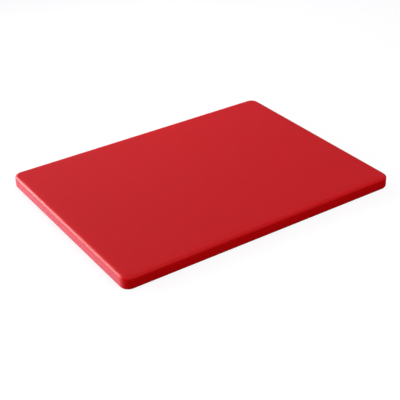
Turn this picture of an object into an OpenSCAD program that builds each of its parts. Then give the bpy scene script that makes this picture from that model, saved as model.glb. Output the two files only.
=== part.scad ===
// Catering cutting board: one solid slab of dyed polyethylene, the same on both
// faces, with rounded corners and every edge rolled over so that it is easy to
// wash and to pick up. It has no feet, groove, handle or hanging hole.
// Millimetres. The origin is the centre of the face that it lies on, +X runs
// along its length and +Z is up.

/* [Slab] */
// Length of the board, along X
board_length = 400; // [250:5:650]
// Width of the board, along Y
board_width = 300; // [180:5:500]
// Thickness of the board, along Z
board_thickness = 18; // [10:0.5:30]

/* [Edges] */
// Radius of the four upright corners, seen from above
corner_radius = 12; // [5:0.5:60]
// Radius of the roll-over along every upper and lower edge
edge_radius = 4; // [0.5:0.1:4.9]

/* [Hidden] */
$fn = 96;

board_red = "#c01820";

// The middle block reaches the axes that the upright corners turn about.
core_length = board_length - 2 * corner_radius;
core_width = board_width - 2 * corner_radius;

// Half of the board's cross-section outside the middle block: x runs outwards
// from the corner axis and y runs up the board's thickness. The two circles are
// the rolled edges.
module rim_section() {
    roll_centre = corner_radius - edge_radius;
    union() {
        square([roll_centre, board_thickness]);
        translate([0, edge_radius])
            square([corner_radius, board_thickness - 2 * edge_radius]);
        for (height = [edge_radius, board_thickness - edge_radius])
            translate([roll_centre, height])
                circle(r = edge_radius);
    }
}

// A straight rim of the given length, centred on the origin and facing +X.
module straight_rim(rim_length) {
    translate([0, rim_length / 2, 0])
        rotate([90, 0, 0])
            linear_extrude(height = rim_length)
                rim_section();
}

// A quarter turn of rim, from +X to +Y, about an upright corner's axis.
module corner_rim() {
    rotate_extrude(angle = 90)
        rim_section();
}

// The slab, as a middle block with a rim along its sides and round its corners.
module board() {
    color(board_red)
        union() {
            translate([-core_length / 2, -core_width / 2, 0])
                cube([core_length, core_width, board_thickness]);
            for (turn = [0, 180])
                rotate([0, 0, turn]) {
                    translate([core_length / 2, 0, 0])
                        straight_rim(core_width);
                    translate([0, core_width / 2, 0])
                        rotate([0, 0, 90])
                            straight_rim(core_length);
                    translate([core_length / 2, core_width / 2, 0])
                        corner_rim();
                    translate([-core_length / 2, core_width / 2, 0])
                        rotate([0, 0, 90])
                            corner_rim();
                }
        }
}

board();
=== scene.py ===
"""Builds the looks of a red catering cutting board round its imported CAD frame.

The board is one solid slab of dyed polyethylene. The slab is modelled here with
finely divided rounded corners and rolled edges, and it stands for the CAD node.
A pale floor, soft studio lamps and a camera go round it. All sizes are metres.
"""

import logging
import math
from dataclasses import dataclass
from enum import Enum

import bmesh
import bpy
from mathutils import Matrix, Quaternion, Vector, noise


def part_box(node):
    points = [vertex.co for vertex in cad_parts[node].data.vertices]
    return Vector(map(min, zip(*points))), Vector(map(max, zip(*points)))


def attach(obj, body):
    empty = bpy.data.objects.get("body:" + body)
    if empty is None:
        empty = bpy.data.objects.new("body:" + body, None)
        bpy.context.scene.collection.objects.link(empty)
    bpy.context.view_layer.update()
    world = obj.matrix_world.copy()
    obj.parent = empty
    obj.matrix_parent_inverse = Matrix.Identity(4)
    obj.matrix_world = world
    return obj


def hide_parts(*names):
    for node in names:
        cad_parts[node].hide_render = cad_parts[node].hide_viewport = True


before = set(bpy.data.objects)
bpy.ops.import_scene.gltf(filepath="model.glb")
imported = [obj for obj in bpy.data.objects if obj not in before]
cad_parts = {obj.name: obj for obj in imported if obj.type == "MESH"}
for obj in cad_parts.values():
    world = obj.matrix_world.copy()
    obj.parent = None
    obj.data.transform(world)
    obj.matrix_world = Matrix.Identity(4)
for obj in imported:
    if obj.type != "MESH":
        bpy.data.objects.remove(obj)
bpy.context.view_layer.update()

MILLIMETRE = 0.001
BOARD_NODE = "board"
BOARD_BODY = "root"
BOARD_SLOT = "red_polyethylene"

Colour = tuple[float, float, float]

log = logging.getLogger("cutting_board")


class Value:
    """A number that varies over a surface, held by a node's output socket.

    Python arithmetic on it adds the Math nodes that work out the result.

    Attributes:
        graph: the material graph that the socket belongs to.
        socket: the output socket that gives the number.
    """

    def __init__(self, graph: "Graph", socket: bpy.types.NodeSocket) -> None:
        """Wraps a socket of a graph."""
        self.graph = graph
        self.socket = socket

    def _maths(self, operation: str, *operands: "Value | float") -> "Value":
        """Adds one Math node.

        Args:
            operation: Blender's name for the operation.
            *operands: the node's inputs, in order.

        Returns:
            The node's result.
        """
        inputs = dict(enumerate(operands))
        node = self.graph.node("ShaderNodeMath", {"operation": operation}, inputs)
        return Value(self.graph, node.outputs["Value"])

    def __add__(self, other: "Value | float") -> "Value":
        """Returns self + other."""
        return self._maths("ADD", self, other)

    def __radd__(self, other: float) -> "Value":
        """Returns other + self."""
        return self._maths("ADD", other, self)

    def __sub__(self, other: "Value | float") -> "Value":
        """Returns self - other."""
        return self._maths("SUBTRACT", self, other)

    def __rsub__(self, other: float) -> "Value":
        """Returns other - self."""
        return self._maths("SUBTRACT", other, self)

    def __mul__(self, other: "Value | float") -> "Value":
        """Returns self * other."""
        return self._maths("MULTIPLY", self, other)

    def __rmul__(self, other: float) -> "Value":
        """Returns other * self."""
        return self._maths("MULTIPLY", other, self)

    def __pow__(self, other: "Value | float") -> "Value":
        """Returns self to the power other."""
        return self._maths("POWER", self, other)

    def __rpow__(self, other: float) -> "Value":
        """Returns other to the power self."""
        return self._maths("POWER", other, self)

    def __abs__(self) -> "Value":
        """Returns the size of self, without its sign."""
        return self._maths("ABSOLUTE", self)

    def least(self, other: "Value | float") -> "Value":
        """Returns the smaller of self and other."""
        return self._maths("MINIMUM", self, other)

    def most(self, other: "Value | float") -> "Value":
        """Returns the larger of self and other."""
        return self._maths("MAXIMUM", self, other)

    def eased(self, start: float, end: float) -> "Value":
        """Turns the number into a share that climbs smoothly between two levels.

        Args:
            start: the level at which the share leaves 0.
            end: the level at which the share reaches 1.

        Returns:
            The share, from 0 to 1.
        """
        node = self.graph.node(
            "ShaderNodeMapRange",
            {"interpolation_type": "SMOOTHSTEP"},
            {"Value": self, "From Min": start, "From Max": end},
        )
        return Value(self.graph, node.outputs["Result"])


class Graph:
    """The node graph of a new material or world.

    Attributes:
        owner: the material or world that holds the graph.
    """

    def __init__(self, owner: bpy.types.Material | bpy.types.World) -> None:
        """Empties the owner's graph, ready for its own nodes."""
        self.owner = owner
        owner.use_nodes = True
        owner.node_tree.nodes.clear()

    def node(self, kind: str, settings: dict | None = None, inputs: dict | None = None) -> bpy.types.Node:
        """Adds a node.

        Args:
            kind: Blender's name for the type of node.
            settings: the node's properties, which are set first.
            inputs: what each input socket takes, by the socket's name, identifier
                or number: a Value, another node's output socket or a constant.

        Returns:
            The new node.
        """
        tree = self.owner.node_tree
        made = tree.nodes.new(kind)
        for name, setting in (settings or {}).items():
            setattr(made, name, setting)
        for key, given in (inputs or {}).items():
            socket = self._input(made, key)
            if isinstance(given, Value):
                tree.links.new(given.socket, socket)
            elif isinstance(given, bpy.types.NodeSocket):
                tree.links.new(given, socket)
            else:
                socket.default_value = given
        return made

    @staticmethod
    def _input(node: bpy.types.Node, key: str | int) -> bpy.types.NodeSocket:
        """Finds an input socket of a node by its number, identifier or name."""
        if isinstance(key, int):
            return node.inputs[key]
        by_identifier = [socket for socket in node.inputs if socket.identifier == key]
        return by_identifier[0] if by_identifier else node.inputs[key]

    def place(self) -> bpy.types.NodeSocket:
        """Returns the point on the piece that is being shaded, in metres."""
        return self.node("ShaderNodeTexCoord").outputs["Object"]

    def axes(self, point: bpy.types.NodeSocket) -> tuple[Value, Value, Value]:
        """Returns the X, Y and Z of a point."""
        parts = self.node("ShaderNodeSeparateXYZ", inputs={"Vector": point}).outputs
        return Value(self, parts["X"]), Value(self, parts["Y"]), Value(self, parts["Z"])

    def stretched(
        self, point: bpy.types.NodeSocket, scale: tuple[float, float, float]
    ) -> bpy.types.NodeSocket:
        """Returns the point with each axis multiplied by its own number."""
        node = self.node("ShaderNodeVectorMath", {"operation": "MULTIPLY"}, {0: point, 1: scale})
        return node.outputs["Vector"]

    def cloud(self, point: bpy.types.NodeSocket, pitch: float, detail: float = 2.0) -> Value:
        """Returns soft noise from 0 to 1.

        Args:
            point: the place at which the noise is read.
            pitch: how far apart its lumps are, in the units of the point.
            detail: how many finer layers lie on the first.

        Returns:
            The noise, about 0.5 on average.
        """
        node = self.node(
            "ShaderNodeTexNoise", inputs={"Vector": point, "Scale": 1.0 / pitch, "Detail": detail}
        )
        return Value(self, node.outputs["Fac"])

    def pebbles(self, point: bpy.types.NodeSocket, pitch: float, smoothness: float = 0.6) -> Value:
        """Returns the height of small round pebbles that touch, from 0 to about 1.

        Args:
            point: the place at which the height is read.
            pitch: how far apart the pebbles are, in the units of the point.
            smoothness: how softly they run into one another, up to 1.

        Returns:
            The height, which is 1 at the middle of a pebble.
        """
        node = self.node(
            "ShaderNodeTexVoronoi",
            {"feature": "SMOOTH_F1"},
            {"Vector": point, "Scale": 1.0 / pitch, "Smoothness": smoothness},
        )
        return 1.0 - Value(self, node.outputs["Distance"])

    def blend(self, share: Value, first: Colour, second: Colour) -> bpy.types.NodeSocket:
        """Returns the first colour where the share is 0 and the second where it is 1."""
        node = self.node(
            "ShaderNodeMix",
            {"data_type": "RGBA"},
            {"Factor_Float": share, "A_Color": (*first, 1.0), "B_Color": (*second, 1.0)},
        )
        return next(socket for socket in node.outputs if socket.identifier == "Result_Color")

    def relief(self, height: Value) -> bpy.types.NodeSocket:
        """Returns the surface's normal, bumped by a height in metres."""
        node = self.node("ShaderNodeBump", inputs={"Height": height, "Strength": 1.0, "Distance": 1.0})
        return node.outputs["Normal"]

    def surface(self, inputs: dict) -> bpy.types.Material:
        """Finishes the material with one Principled shader that takes these inputs."""
        shader = self.node("ShaderNodeBsdfPrincipled", inputs=inputs)
        self.node("ShaderNodeOutputMaterial", inputs={"Surface": shader.outputs["BSDF"]})
        return self.owner


@dataclass(frozen=True)
class Polyethylene:
    """Matt polyethylene, dyed red right through.

    The broad faces carry a fine pressed grain. The edges were planed and rolled
    over afterwards, so they are smoother, with faint marks of the cutter along
    them. Near the outline their colour is painted paler, a painted glow that
    stands for light passing through the plastic.

    Attributes:
        dye: the colour of the broad faces.
        pale_dye_and_rim_glow: the paler colour that the clouds in the dye go towards,
        and that the edges go towards as a painted glow.
        cloud_pitch: the distance between clouds in the dye.
        cloud_share: how far the clouds go towards the pale dye.
        rim_glow_share: how far the edges are painted towards the paler colour, a
            painted glow.
        rim_glow_reach: how far in from the outline the painted glow fades out, in
            radii of the rolled edge.
        face_start: how far in the finish of the broad faces starts, in the same
            radii.
        face_full: how far in it has taken over from that of the edges.
        face_roughness: the roughness of the broad faces.
        edge_roughness: the roughness of the planed edges.
        roughness_spread: how much the roughness varies from place to place.
        grain_pitch: the distance between pebbles of the grain.
        grain_depth: the depth of the grain.
        grain_ratio: how many times finer the roughness on the pebbles is.
        mark_pitch: the distance between cutter marks.
        mark_length: the length of a cutter mark.
        mark_depth: the depth of a cutter mark.
        refraction: the plastic's index of refraction.
        gloss: the strength of its reflections, 0.5 being that of a polished face.
        scatter: the share of light that passes into the plastic.
        scatter_reach: how far red light travels inside the plastic.
        scatter_spread: how far red, green and blue travel, as shares of the reach.
    """

    dye: Colour = (0.455, 0.0005, 0.0015)
    pale_dye_and_rim_glow: Colour = (0.52, 0.002, 0.003)
    cloud_pitch: float = 0.09
    cloud_share: float = 0.25
    # the rim share and reach paint a paler glow along the edges
    rim_glow_share: float = 0.30
    rim_glow_reach: float = 3.0
    face_start: float = 0.4
    face_full: float = 1.1
    face_roughness: float = 0.52
    edge_roughness: float = 0.46
    roughness_spread: float = 0.08
    grain_pitch: float = 0.9 * MILLIMETRE
    grain_depth: float = 0.09 * MILLIMETRE
    grain_ratio: float = 3.0
    mark_pitch: float = 0.5 * MILLIMETRE
    mark_length: float = 40 * MILLIMETRE
    mark_depth: float = 0.02 * MILLIMETRE
    refraction: float = 1.54
    gloss: float = 0.2
    scatter: float = 0.8
    scatter_reach: float = 8 * MILLIMETRE
    scatter_spread: Colour = (1.0, 0.25, 0.20)

    def material(self, board: "CuttingBoard") -> bpy.types.Material:
        """Makes the material for a board.

        Args:
            board: the board, whose sizes say where its edges are.

        Returns:
            The new material.
        """
        graph = Graph(bpy.data.materials.new(BOARD_SLOT))
        point = graph.place()
        inset = self._inset(graph, point, board)
        face = inset.eased(self.face_start * board.edge_radius, self.face_full * board.edge_radius)
        # painted glow: the edges' colour is painted paler, fading out inwards, for light passing through
        rim = 1.0 - inset.eased(0.0, self.rim_glow_reach * board.edge_radius)
        clouds = graph.cloud(point, self.cloud_pitch)
        pebbles = graph.pebbles(point, self.grain_pitch)
        grain = pebbles + graph.cloud(point, self.grain_pitch / self.grain_ratio)
        marks = graph.cloud(self._along_edges(graph, point), 1.0)
        # the clouds are the dye's own tone; the rim part is the painted glow
        paleness_and_rim_glow = clouds * self.cloud_share + rim * self.rim_glow_share
        height = face * grain * self.grain_depth + (1.0 - face) * marks * self.mark_depth
        roughness = (
            self.edge_roughness
            + face * (self.face_roughness - self.edge_roughness)
            + (clouds - 0.5) * self.roughness_spread
        )
        return graph.surface(
            {
                "Base Color": graph.blend(paleness_and_rim_glow, self.dye, self.pale_dye_and_rim_glow),
                "Roughness": roughness,
                "IOR": self.refraction,
                "Specular IOR Level": self.gloss,
                "Subsurface Weight": self.scatter,
                "Subsurface Radius": self.scatter_spread,
                "Subsurface Scale": self.scatter_reach,
                "Normal": graph.relief(height),
            }
        )

    @staticmethod
    def _inset(graph: Graph, point: bpy.types.NodeSocket, board: "CuttingBoard") -> Value:
        """Works out how far inside the board's outline a point is, seen from above.

        Args:
            graph: the material's graph.
            point: the point.
            board: the board, which lies centred on the origin.

        Returns:
            The distance to the nearest point of the outline, in metres.
        """
        x, y, _ = graph.axes(point)
        along = abs(x) - (board.size.x / 2 - board.corner_radius)
        across = abs(y) - (board.size.y / 2 - board.corner_radius)
        past_corner = (along.most(0.0) ** 2.0 + across.most(0.0) ** 2.0) ** 0.5
        return board.corner_radius - past_corner - along.most(across).least(0.0)

    def _along_edges(self, graph: Graph, point: bpy.types.NodeSocket) -> bpy.types.NodeSocket:
        """Squeezes space so that one unit is a cutter mark's length and pitch."""
        return graph.stretched(point, (1 / self.mark_length, 1 / self.mark_length, 1 / self.mark_pitch))


@dataclass
class CuttingBoard:
    """The board itself: a slab with rounded corners and rolled edges.

    Attributes:
        low: the lowest corner of its box.
        high: the highest corner of its box.
        corner_radius: the radius of the upright corners, seen from above.
        edge_radius: the radius of the roll-over along every edge.
        corner_steps: the flats that make up each upright corner.
        edge_steps: the flats that make up each rolled edge.
        land: the width of the flat strip that keeps the roll's shading off the
            broad faces.
        cell: the size of the squares that the broad faces are divided into.
        snap: how near to a corner of the mesh a cut has to pass to go through it.
        crown_width: the width of the border, inside the roll, that slopes gently
            down to it.
        crown_drop: how far the border has dropped where the roll begins.
        crown_steps: the rings that make up the border.
        waviness: how far the broad faces dip at most, as a pressed sheet does.
        wave_pitch: the distance between dips.
        finish: the plastic that it is made of.
    """

    low: Vector
    high: Vector
    corner_radius: float = 12 * MILLIMETRE
    edge_radius: float = 4 * MILLIMETRE
    corner_steps: int = 24
    edge_steps: int = 12
    land: float = 0.5 * MILLIMETRE
    cell: float = 8 * MILLIMETRE
    snap: float = 0.005 * MILLIMETRE
    crown_width: float = 6 * MILLIMETRE
    crown_drop: float = 0.18 * MILLIMETRE
    crown_steps: int = 6
    waviness: float = 0.12 * MILLIMETRE
    wave_pitch: float = 110 * MILLIMETRE
    finish: Polyethylene = Polyethylene()

    @property
    def size(self) -> Vector:
        """Returns the length, width and thickness."""
        return self.high - self.low

    @property
    def centre(self) -> Vector:
        """Returns the middle of the box."""
        return (self.high + self.low) / 2

    def make(self) -> bpy.types.Object:
        """Builds the board, dresses it and puts it in the CAD node's place.

        Returns:
            The finished piece.
        """
        mesh = bmesh.new()
        self._block(mesh)
        self._round_corners(mesh)
        self._roll_edges(mesh)
        self._divide(mesh)
        self._settle(mesh)
        data = bpy.data.meshes.new("cutting_board")
        mesh.to_mesh(data)
        mesh.free()
        data.shade_smooth()
        data.materials.append(self.finish.material(self))
        piece = bpy.data.objects.new("cutting_board", data)
        bpy.context.scene.collection.objects.link(piece)
        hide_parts(BOARD_NODE)
        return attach(piece, BOARD_BODY)

    def _block(self, mesh: bmesh.types.BMesh) -> None:
        """Starts the slab as a sharp block that fills the box."""
        made = bmesh.ops.create_cube(mesh, size=1.0)["verts"]
        bmesh.ops.scale(mesh, vec=self.size, verts=made)
        bmesh.ops.translate(mesh, vec=self.centre, verts=made)

    def _round_corners(self, mesh: bmesh.types.BMesh) -> None:
        """Rounds the four upright edges."""
        upright = [edge for edge in mesh.edges if self._rise(edge) > self.size.z / 2]
        self._bevel(mesh, upright, self.corner_radius, self.corner_steps)

    def _roll_edges(self, mesh: bmesh.types.BMesh) -> None:
        """Rolls over every edge of the two broad faces."""
        rims = [edge for face in self._broad_faces(mesh) for edge in face.edges]
        self._bevel(mesh, rims, self.edge_radius, self.edge_steps)

    def _divide(self, mesh: bmesh.types.BMesh) -> None:
        """Gives the broad faces a land and rings at their rim, and squares inside them."""
        ring = (self.crown_width - self.land) / self.crown_steps
        for width in (self.land, *[ring] * self.crown_steps):
            bmesh.ops.inset_individual(mesh, faces=self._broad_faces(mesh), thickness=width)
        for axis in range(2):
            normal = Vector((axis == 0, axis == 1, 0))
            for place in self._cuts(self.size[axis] / 2 - self.corner_radius):
                bmesh.ops.bisect_plane(
                    mesh,
                    geom=[*mesh.verts, *mesh.edges, *mesh.faces],
                    dist=self.snap,
                    plane_co=self.centre + normal * place,
                    plane_no=normal,
                )

    def _cuts(self, reach: float) -> list[float]:
        """Places the cuts across one axis of the slab.

        Args:
            reach: how far from the middle the straight stretch of the edge ends.

        Returns:
            The cuts' distances from the middle: evenly spaced, with one more a
            land's width inside each end, to keep the corner's shading off the sides.
        """
        count = round(2 * reach / self.cell)
        even = [reach * (2 * step / count - 1) for step in range(count + 1)]
        return [*even, self.land - reach, reach - self.land]

    def _settle(self, mesh: bmesh.types.BMesh) -> None:
        """Slopes the broad faces' borders and lets their middles dip very slightly."""
        for vertex in mesh.verts:
            away = vertex.co - self.centre
            level = abs(away.z) - (self.size.z / 2 - self.edge_radius)
            share = max(0.0, level / self.edge_radius)
            inside = self._inset(away) - self.edge_radius
            crown = self.crown_drop * max(0.0, 1 - inside / self.crown_width) ** 2
            fade = min(1.0, max(0.0, inside) / self.wave_pitch)
            swell = 0.5 + 0.5 * noise.noise(vertex.co / self.wave_pitch)
            vertex.co.z -= math.copysign(share * (crown + self.waviness * fade * swell), away.z)

    def _inset(self, away: Vector) -> float:
        """Works out how far inside the board's outline a point is, seen from above.

        Args:
            away: the point, from the middle of the board.

        Returns:
            The distance to the nearest point of the outline.
        """
        along, across = (abs(away[axis]) - self.size[axis] / 2 + self.corner_radius for axis in range(2))
        past_corner = math.hypot(max(along, 0.0), max(across, 0.0))
        return self.corner_radius - past_corner - min(max(along, across), 0.0)

    def _rise(self, edge: bmesh.types.BMEdge) -> float:
        """Returns how far an edge climbs."""
        return abs(edge.verts[0].co.z - edge.verts[1].co.z)

    def _broad_faces(self, mesh: bmesh.types.BMesh) -> list[bmesh.types.BMFace]:
        """Returns the upper and lower faces, the largest that the slab has."""
        return sorted(mesh.faces, key=lambda face: face.calc_area())[-2:]

    @staticmethod
    def _bevel(
        mesh: bmesh.types.BMesh, edges: list[bmesh.types.BMEdge], radius: float, steps: int
    ) -> None:
        """Rounds edges to a radius with that many flats."""
        bmesh.ops.bevel(
            mesh, geom=edges, offset=radius, segments=steps, profile=0.5, affect="EDGES", material=-1
        )


def direction(azimuth: float, elevation: float) -> Vector:
    """Gives the way to a point of the studio from the board.

    Args:
        azimuth: degrees round the board, 0 being in front of its long -Y side.
        elevation: degrees above the floor.

    Returns:
        A unit vector.
    """
    turn, rise = math.radians(azimuth), math.radians(elevation)
    level = math.cos(rise)
    return Vector((math.sin(turn) * level, -math.cos(turn) * level, math.sin(rise)))


class LampUse(Enum):
    """What a lamp is there for."""

    ALL = "both to light the board and to be mirrored in it"
    MATT = "only to light the board"
    GLOSS = "only to be mirrored in the board"


@dataclass(frozen=True)
class Softbox:
    """A soft studio lamp that points at the board.

    Attributes:
        name: what the lamp is called.
        azimuth: degrees round the board.
        elevation: degrees above the floor.
        distance: how far from the board it stands.
        width: the width of its face.
        height: the height of its face.
        power: its power in watts.
        use: what it is there for.
    """

    name: str
    azimuth: float
    elevation: float
    distance: float
    width: float
    height: float
    power: float
    use: LampUse = LampUse.ALL

    def make(self, target: Vector) -> bpy.types.Object:
        """Hangs the lamp.

        Args:
            target: the point that it faces.

        Returns:
            The new lamp.
        """
        data = bpy.data.lights.new(self.name, "AREA")
        data.shape = "RECTANGLE"
        data.size, data.size_y = self.width, self.height
        data.energy = self.power
        lamp = bpy.data.objects.new(self.name, data)
        lamp.visible_camera = False
        lamp.visible_glossy = self.use is not LampUse.MATT
        lamp.visible_diffuse = self.use is not LampUse.GLOSS
        away = direction(self.azimuth, self.elevation)
        lamp.location = target + away * self.distance
        lamp.rotation_mode = "QUATERNION"
        lamp.rotation_quaternion = away.to_track_quat("Z", "Y")
        bpy.context.scene.collection.objects.link(lamp)
        return lamp


@dataclass(frozen=True)
class GlowingPaint:
    """A matt surface that glows of its own light, so that it looks near white.

    Attributes:
        name: what the paint is called.
        shades: the two tints of the paint under its glow, which it clouds between.
        glow: the brightness of its own light.
        roughness: how matt it is.
        cloud_pitch: the distance between clouds.
    """

    name: str
    shades: tuple[Colour, Colour]
    glow: float
    roughness: float = 0.9
    cloud_pitch: float = 0.5

    def material(self) -> bpy.types.Material:
        """Makes the paint."""
        graph = Graph(bpy.data.materials.new(self.name))
        clouds = graph.cloud(graph.place(), self.cloud_pitch)
        return graph.surface(
            {
                "Base Color": graph.blend(clouds, *self.shades),
                "Roughness": self.roughness,
                "Specular IOR Level": 0.0,
                "Emission Color": (1.0, 1.0, 1.0, 1.0),
                "Emission Strength": self.glow,
            }
        )


@dataclass(frozen=True)
class Glow:
    """A soft bright patch of the studio's surroundings.

    Attributes:
        azimuth: degrees round the board to its middle.
        elevation: degrees above the floor to its middle.
        inner: degrees from its middle to where it starts to fade.
        outer: degrees from its middle to where it has faded away.
        brightness: how bright its middle is.
    """

    azimuth: float
    elevation: float
    inner: float
    outer: float
    brightness: float

    def seen_along(self, graph: Graph, way: bpy.types.NodeSocket) -> Value:
        """Works out how bright the patch is in a direction.

        Args:
            graph: the world's graph.
            way: the direction, as a unit vector.

        Returns:
            The brightness.
        """
        middle = direction(self.azimuth, self.elevation)
        node = graph.node("ShaderNodeVectorMath", {"operation": "DOT_PRODUCT"}, {0: way, 1: middle})
        fade_out, fade_in = (math.cos(math.radians(angle)) for angle in (self.outer, self.inner))
        return Value(graph, node.outputs["Value"]).eased(fade_out, fade_in) * self.brightness


@dataclass(frozen=True)
class Studio:
    """The floor, the backdrop, the lamps and the surroundings of the studio.

    The floor and the backdrop are there for the camera alone. The board's own
    light and reflections come from the lamps and the surroundings.

    Attributes:
        radius: how far the floor reaches, and the radius of the backdrop's dome.
        dome_columns: the flats round the dome.
        dome_rows: the flats from its top to its bottom.
        floor_gap: how far the floor lies below the board, so that the two faces
            don't fight for the same place.
        floor_paint: the floor's finish.
        backdrop_paint: the backdrop's finish.
        lamps: the soft lamps.
        glows: the dim air above the floor, and the brighter patches in it.
        air_tint: the colour of the surroundings.
    """

    radius: float = 5.0
    dome_columns: int = 48
    dome_rows: int = 24
    floor_gap: float = 0.1 * MILLIMETRE
    floor_paint: GlowingPaint = GlowingPaint("floor_paint", ((0.16,) * 3, (0.18,) * 3), glow=0.84)
    backdrop_paint: GlowingPaint = GlowingPaint("backdrop_paint", ((0.0,) * 3, (0.01,) * 3), glow=0.91)
    lamps: tuple[Softbox, ...] = (
        Softbox("key_lamp", -143, 12, distance=2.4, width=1.5, height=1.2, power=116, use=LampUse.GLOSS),
        Softbox("side_lamp", -110, 12, distance=2.4, width=1.5, height=1.2, power=59, use=LampUse.MATT),
        Softbox("back_lamp", 172, 35, distance=0.7, width=0.5, height=0.3, power=2.2, use=LampUse.MATT),
        Softbox("fill_lamp", 8, 30, distance=2.2, width=1.0, height=1.0, power=21, use=LampUse.MATT),
        Softbox("top_lamp", 0, 60, distance=2.2, width=1.4, height=1.4, power=9),
    )
    glows: tuple[Glow, ...] = (
        Glow(azimuth=0, elevation=90, inner=86, outer=94, brightness=0.36),
        Glow(azimuth=180, elevation=20, inner=20, outer=45, brightness=0.17),
        Glow(azimuth=-147, elevation=-31, inner=20, outer=45, brightness=2.3),
    )
    air_tint: Colour = (1.0, 0.88, 1.1)

    def make(self, board: CuttingBoard) -> None:
        """Sets the studio up round a board."""
        self._lay_floor(board.low.z - self.floor_gap)
        self._hang_backdrop()
        self._fill_air()
        for lamp in self.lamps:
            lamp.make(board.centre)
            log.info("%s hung", lamp.name)

    def _lay_floor(self, height: float) -> None:
        """Lays the floor at a height."""
        mesh = bmesh.new()
        bmesh.ops.create_grid(mesh, x_segments=1, y_segments=1, size=self.radius)
        bmesh.ops.translate(mesh, vec=(0, 0, height), verts=mesh.verts)
        self._stage("studio_floor", mesh, self.floor_paint)

    def _hang_backdrop(self) -> None:
        """Hangs the backdrop, a dome that closes the scene off beyond the lamps."""
        mesh = bmesh.new()
        bmesh.ops.create_uvsphere(
            mesh, u_segments=self.dome_columns, v_segments=self.dome_rows, radius=self.radius
        )
        bmesh.ops.reverse_faces(mesh, faces=mesh.faces)
        self._stage("studio_backdrop", mesh, self.backdrop_paint)

    @staticmethod
    def _stage(name: str, mesh: bmesh.types.BMesh, paint: GlowingPaint) -> None:
        """Makes a mesh into a painted part of the stage, seen by the camera alone."""
        data = bpy.data.meshes.new(name)
        mesh.to_mesh(data)
        mesh.free()
        data.materials.append(paint.material())
        sheet = bpy.data.objects.new(name, data)
        bpy.context.scene.collection.objects.link(sheet)
        sheet.visible_diffuse = sheet.visible_glossy = sheet.visible_transmission = False
        sheet.visible_volume_scatter = sheet.visible_shadow = False

    def _fill_air(self) -> None:
        """Surrounds the scene with the dim air and its bright patches."""
        world = bpy.data.worlds.new("studio_air")
        bpy.context.scene.world = world
        graph = Graph(world)
        way = graph.node("ShaderNodeTexCoord").outputs["Generated"]
        brightness = sum(glow.seen_along(graph, way) for glow in self.glows)
        tint = (*self.air_tint, 1.0)
        air = graph.node("ShaderNodeBackground", inputs={"Color": tint, "Strength": brightness})
        graph.node("ShaderNodeOutputWorld", inputs={"Surface": air.outputs["Background"]})


@dataclass(frozen=True)
class StudioCamera:
    """The camera: a long lens that looks down over the board's near corner.

    Attributes:
        azimuth: degrees round the board.
        elevation: degrees above the floor.
        roll: degrees that the camera leans about its own line of sight.
        distance: how far it is from the point that it looks at.
        aim: where it looks, from the middle of the board's underside.
        lens: its focal length, in millimetres.
        sensor: the width of its sensor, in millimetres.
    """

    azimuth: float = -33.0
    elevation: float = 30.8
    roll: float = -1.6
    distance: float = 1.224
    aim: tuple[float, float, float] = (-0.019, -0.030, 0.0)
    lens: float = 85.0
    sensor: float = 36.0

    def make(self, board: CuttingBoard) -> None:
        """Sets the camera up in front of a board."""
        data = bpy.data.cameras.new("studio_camera")
        data.lens, data.sensor_width = self.lens, self.sensor
        camera = bpy.data.objects.new("studio_camera", data)
        away = direction(self.azimuth, self.elevation)
        foot = Vector((board.centre.x, board.centre.y, board.low.z))
        camera.location = foot + Vector(self.aim) + away * self.distance
        lean = Quaternion((0, 0, 1), math.radians(self.roll))
        camera.rotation_mode = "QUATERNION"
        camera.rotation_quaternion = away.to_track_quat("Z", "Y") @ lean
        bpy.context.scene.collection.objects.link(camera)
        bpy.context.scene.camera = camera


def main() -> None:
    """Builds the camera, the board and the studio, in that order."""
    logging.basicConfig(level=logging.INFO, format="%(name)s: %(message)s")
    board = CuttingBoard(*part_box(BOARD_NODE))
    StudioCamera().make(board)
    log.info("camera set up")
    piece = board.make()
    log.info("%s built with %d faces", piece.name, len(piece.data.polygons))
    Studio().make(board)
    log.info("studio set up")
    bpy.context.scene.view_settings.view_transform = "Standard"


if __name__ == "__main__":
    main()
